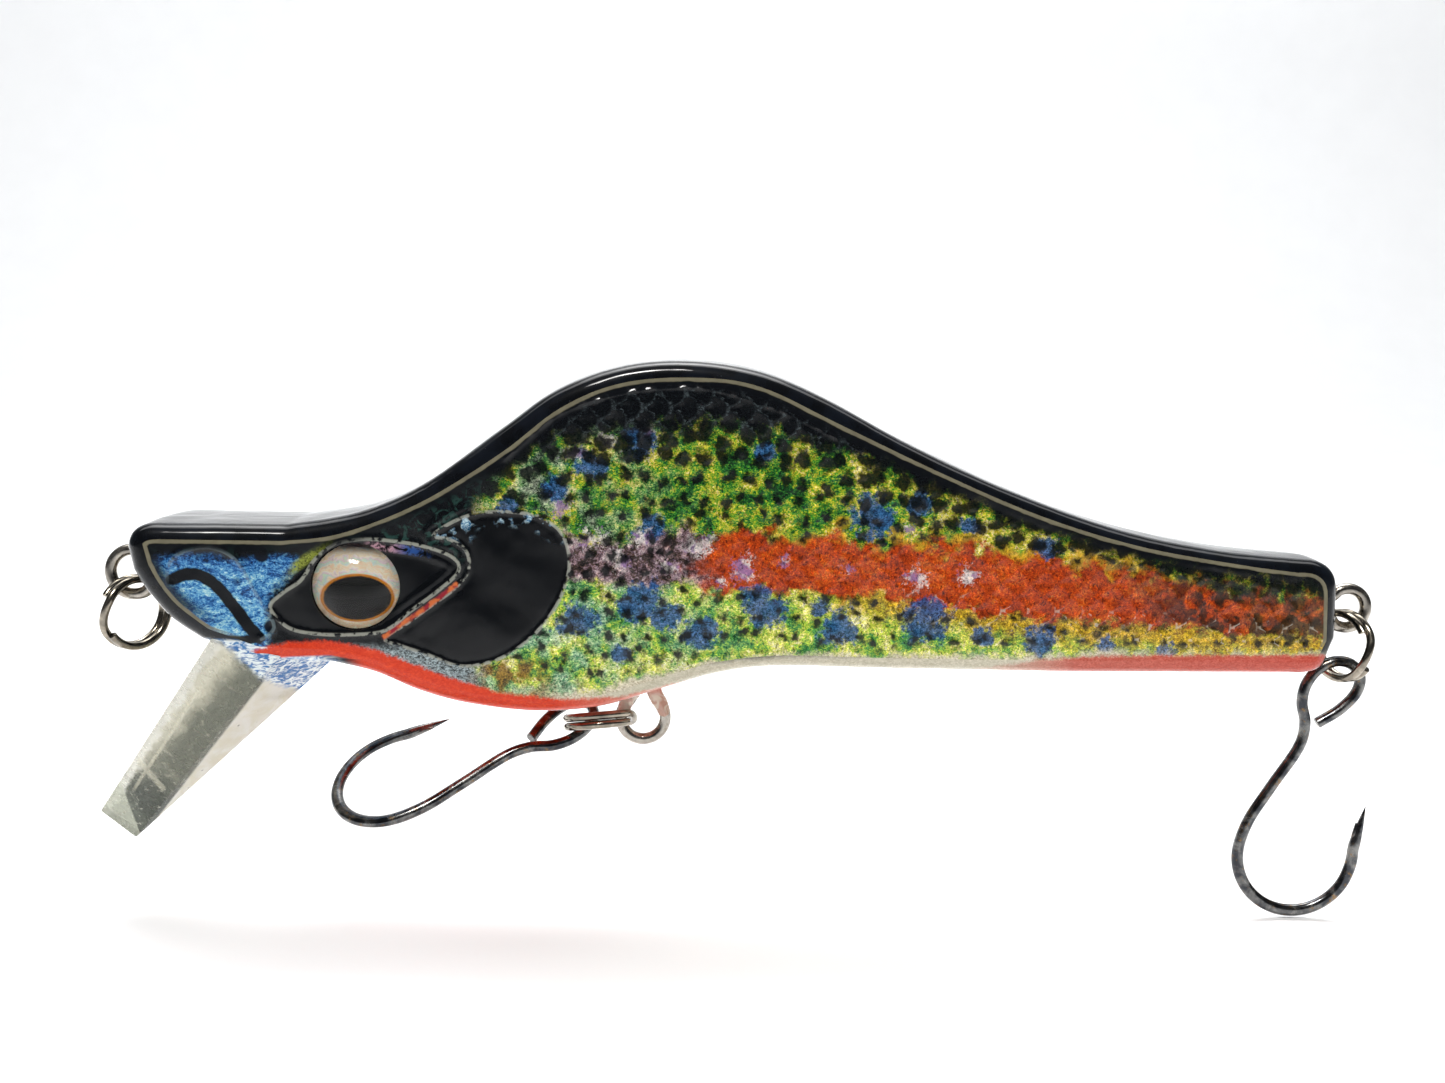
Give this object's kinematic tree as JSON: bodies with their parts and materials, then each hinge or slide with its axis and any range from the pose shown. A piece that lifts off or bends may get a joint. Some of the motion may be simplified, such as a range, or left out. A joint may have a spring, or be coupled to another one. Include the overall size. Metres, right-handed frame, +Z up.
{
  "type": "crankbait lure",
  "caption": "Flat-sided hump-backed crankbait with a clear diving lip, printed flanks, domed eyes, wire eyes, split rings and single hooks.",
  "frame": {"origin": "centre of the line-tie eye at the nose", "axes": "+X along the body to the tail, +Y to the fish's right flank, +Z up to the back"},
  "size_m": [0.1096, 0.0142, 0.0476],
  "materials": {
    "lacquer": "black paint under a thick gloss epoxy coat",
    "print_film": "trout print under a thick gloss epoxy coat",
    "iris_foil": "holographic foil with a black pupil and an orange ring",
    "clear_dome": "clear domed resin",
    "lip_acrylic": "clear acrylic with sawn sides",
    "stainless_wire": "drawn stainless wire",
    "ring_steel": "nickel-plated spring wire",
    "hook_steel": "black nickel with warm reflections",
    "lead": "dull cast lead",
    "beech": "bare turned wood"
  },
  "bodies": {
    "lure_body": {"left_body_half": "lacquer", "right_body_half": "lacquer", "left_print_film": "print_film", "right_print_film": "print_film", "left_eye_disc": "iris_foil", "right_eye_disc": "iris_foil", "left_eye_dome": "clear_dome", "right_eye_dome": "clear_dome", "diving_lip": "lip_acrylic", "through_wire": "stainless_wire", "belly_hanger": "stainless_wire", "front_ballast": "lead", "rear_ballast": "lead", "shoulder_dowel": "beech", "tail_dowel": "beech"},
    "nose_ring": {"nose_split_ring": "ring_steel"},
    "belly_ring": {"belly_split_ring": "ring_steel"},
    "belly_hook": {"belly_hook": "hook_steel"},
    "tail_ring": {"tail_split_ring": "ring_steel"},
    "tail_hook": {"tail_hook": "hook_steel"}
  },
  "joints": [
    {"name": "nose_ring_swing", "type": "hinge", "parent": "lure_body", "child": "nose_ring", "pos_m": [0, 0, 0], "axis": [0, 1, 0], "range_deg": [-15, 120]},
    {"name": "belly_ring_swing", "type": "hinge", "parent": "lure_body", "child": "belly_ring", "pos_m": [0.0429, 0, -0.0118], "axis": [0, 1, 0], "range_deg": [-120, 2]},
    {"name": "belly_hook_swing", "type": "hinge", "parent": "belly_ring", "child": "belly_hook", "pos_m": [0.03609, 0.00091, -0.01266], "axis": [-0.2311, -0.4522, 0.8614], "range_deg": [-20, 20]},
    {"name": "tail_ring_swing", "type": "hinge", "parent": "lure_body", "child": "tail_ring", "pos_m": [0.1035, 0, -0.0011], "axis": [0, 1, 0], "range_deg": [-110, 3]},
    {"name": "tail_hook_swing", "type": "hinge", "parent": "tail_ring", "child": "tail_hook", "pos_m": [0.1028, 0, -0.00825], "axis": [0, 1, 0], "range_deg": [-40, 45]}
  ]
}
